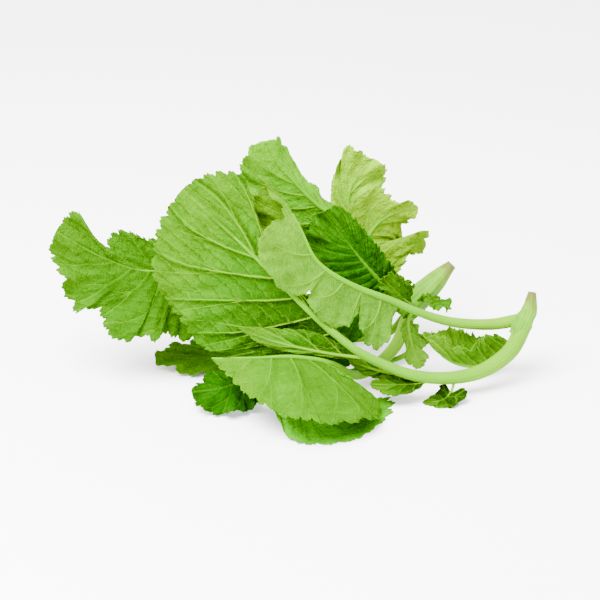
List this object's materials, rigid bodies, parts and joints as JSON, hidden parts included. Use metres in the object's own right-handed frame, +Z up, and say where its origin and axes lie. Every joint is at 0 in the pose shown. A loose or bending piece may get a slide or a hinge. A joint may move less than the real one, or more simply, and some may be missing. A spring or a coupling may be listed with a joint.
{
  "type": "mustard greens bunch",
  "caption": "Loose bunch of fresh mustard greens lying on its side: broad frilled leaves on fleshy pale stalks that meet at cut crowns.",
  "frame": {"origin": "middle of the bounding box's underside, on the surface that the bunch lies on", "axes": "+X towards the crowns, -Y the side that the bunch shows, +Z up"},
  "size_m": [0.3053, 0.1741, 0.1508],
  "materials": {
    "underside_leaf": "satin",
    "upper_leaf": "satin",
    "young_leaf": "satin",
    "pale_leaf": "satin",
    "crown": "matte"
  },
  "bodies": {
    "root": {"crown_front": "crown", "crown_back": "crown", "leaf_front_large": "underside_leaf", "leaf_folded": "underside_leaf", "leaf_inner_folded": "upper_leaf", "leaf_left_broad": "upper_leaf", "leaf_back_tall": "underside_leaf", "leaf_back_curled": "pale_leaf", "leaf_back_bright": "pale_leaf", "leaf_inner_crinkled": "young_leaf", "leaf_front_low": "underside_leaf", "leaf_low_curly": "young_leaf", "leaf_back_low": "young_leaf", "leaf_heart_1": "upper_leaf", "leaf_heart_2": "upper_leaf"}
  },
  "joints": []
}
